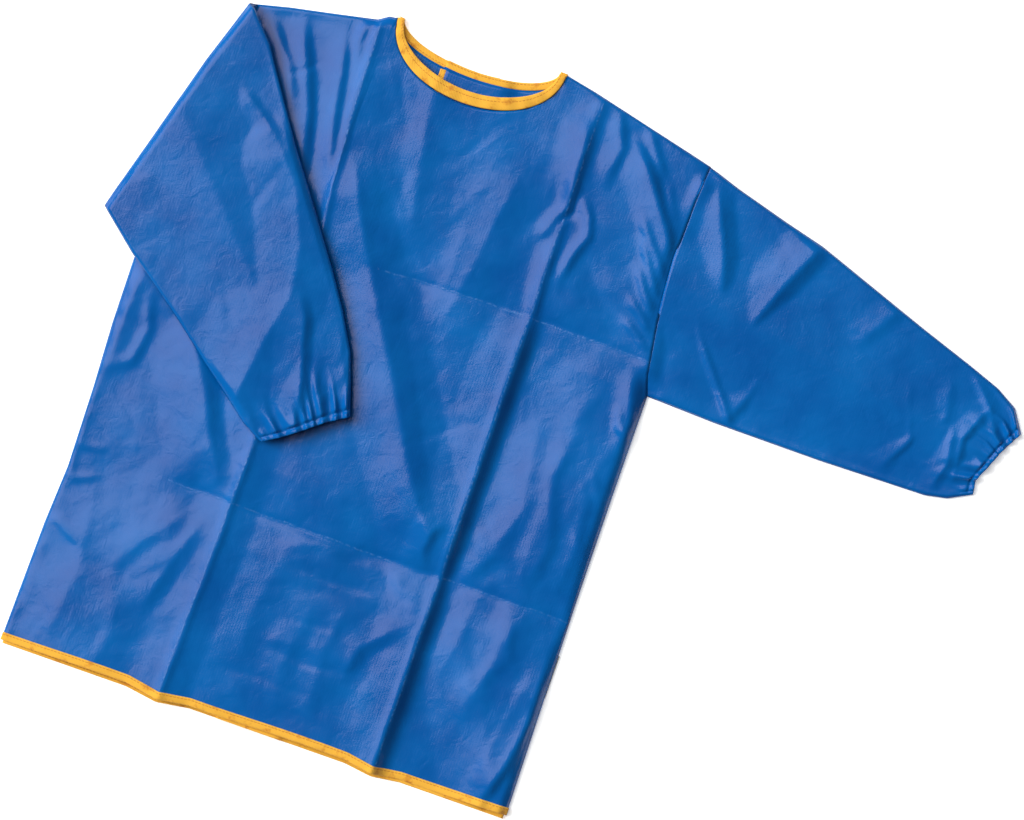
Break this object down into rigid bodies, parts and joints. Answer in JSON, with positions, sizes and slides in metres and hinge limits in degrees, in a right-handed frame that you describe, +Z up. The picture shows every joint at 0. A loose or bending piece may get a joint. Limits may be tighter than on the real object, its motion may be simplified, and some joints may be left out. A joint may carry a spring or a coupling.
{
  "type": "artist smock apron",
  "caption": "Long-sleeved pullover painting smock lying flat, one sleeve folded over the front, with bound neck and hem, gathered cuffs and a back that closes with an overlap.",
  "frame": {"origin": "the point of the table under the middle of the smock's back, halfway from hem to neck, where the outer back panel lies on it", "axes": "+Z up from the table through the smock's thickness, -Z out of its back, +Y from hem to neck, +X towards the wearer's left"},
  "size_m": [0.8466, 0.6481, 0.0255],
  "materials": {
    "cloth": "coated nylon, slightly glossy",
    "seam": "coated nylon, sewn together",
    "tape": "matt woven bias tape",
    "elastic": "matt ribbed elastic",
    "patch": "matt hook-and-loop tape",
    "label": "satin ribbon"
  },
  "bodies": {
    "smock_body": {"front_panel": "cloth", "neck_binding_front": "tape", "hem_binding_front": "tape", "care_label": "label", "right_back_side": "cloth", "left_back_side": "cloth", "right_shoulder_seam": "seam", "left_shoulder_seam": "seam", "right_side_seam": "seam", "left_side_seam": "seam", "right_armhole_seam": "seam", "left_armhole_seam": "seam", "right_sleeve_crown": "cloth", "left_sleeve_crown": "cloth"},
    "right_sleeve": {"right_sleeve": "cloth", "right_underarm_seam": "seam", "right_cuff_casing": "cloth", "right_cuff_elastic": "elastic"},
    "left_sleeve": {"left_sleeve": "cloth", "left_underarm_seam": "seam", "left_cuff_casing": "cloth", "left_cuff_elastic": "elastic"},
    "right_back": {"right_back_flap": "cloth", "hem_binding_back_right": "tape", "neck_binding_back_right": "tape", "back_edge_binding_right": "tape", "hook_patch_1": "patch", "hook_patch_2": "patch", "hook_patch_3": "patch"},
    "left_back": {"left_back_flap": "cloth", "hem_binding_back_left": "tape", "neck_binding_back_left": "tape", "back_edge_binding_left": "tape", "loop_patch_1": "patch", "loop_patch_2": "patch", "loop_patch_3": "patch"}
  },
  "joints": [
    {"name": "right_sleeve_fold", "type": "hinge", "parent": "smock_body", "child": "right_sleeve", "pos_m": [-0.283, 0.073, 0.01275], "axis": [-0.2865, -0.9581, 0], "range_deg": [0, 180]},
    {"name": "left_sleeve_fold", "type": "hinge", "parent": "smock_body", "child": "left_sleeve", "pos_m": [0.283, 0.073, 0.01275], "axis": [0.2865, -0.9581, 0], "range_deg": [0, 180]},
    {"name": "right_back_opening", "type": "hinge", "parent": "smock_body", "child": "right_back", "pos_m": [-0.233, -0.324, 0], "axis": [0.2148, 0.9767, 0], "range_deg": [0, 150]},
    {"name": "left_back_opening", "type": "hinge", "parent": "smock_body", "child": "left_back", "pos_m": [0.233, -0.324, 0], "axis": [0.2432, -0.97, 0], "range_deg": [0, 60]}
  ],
  "couplings": [
    {"joint": "left_back_opening", "follows": "right_back_opening", "ratio": 0.4}
  ]
}
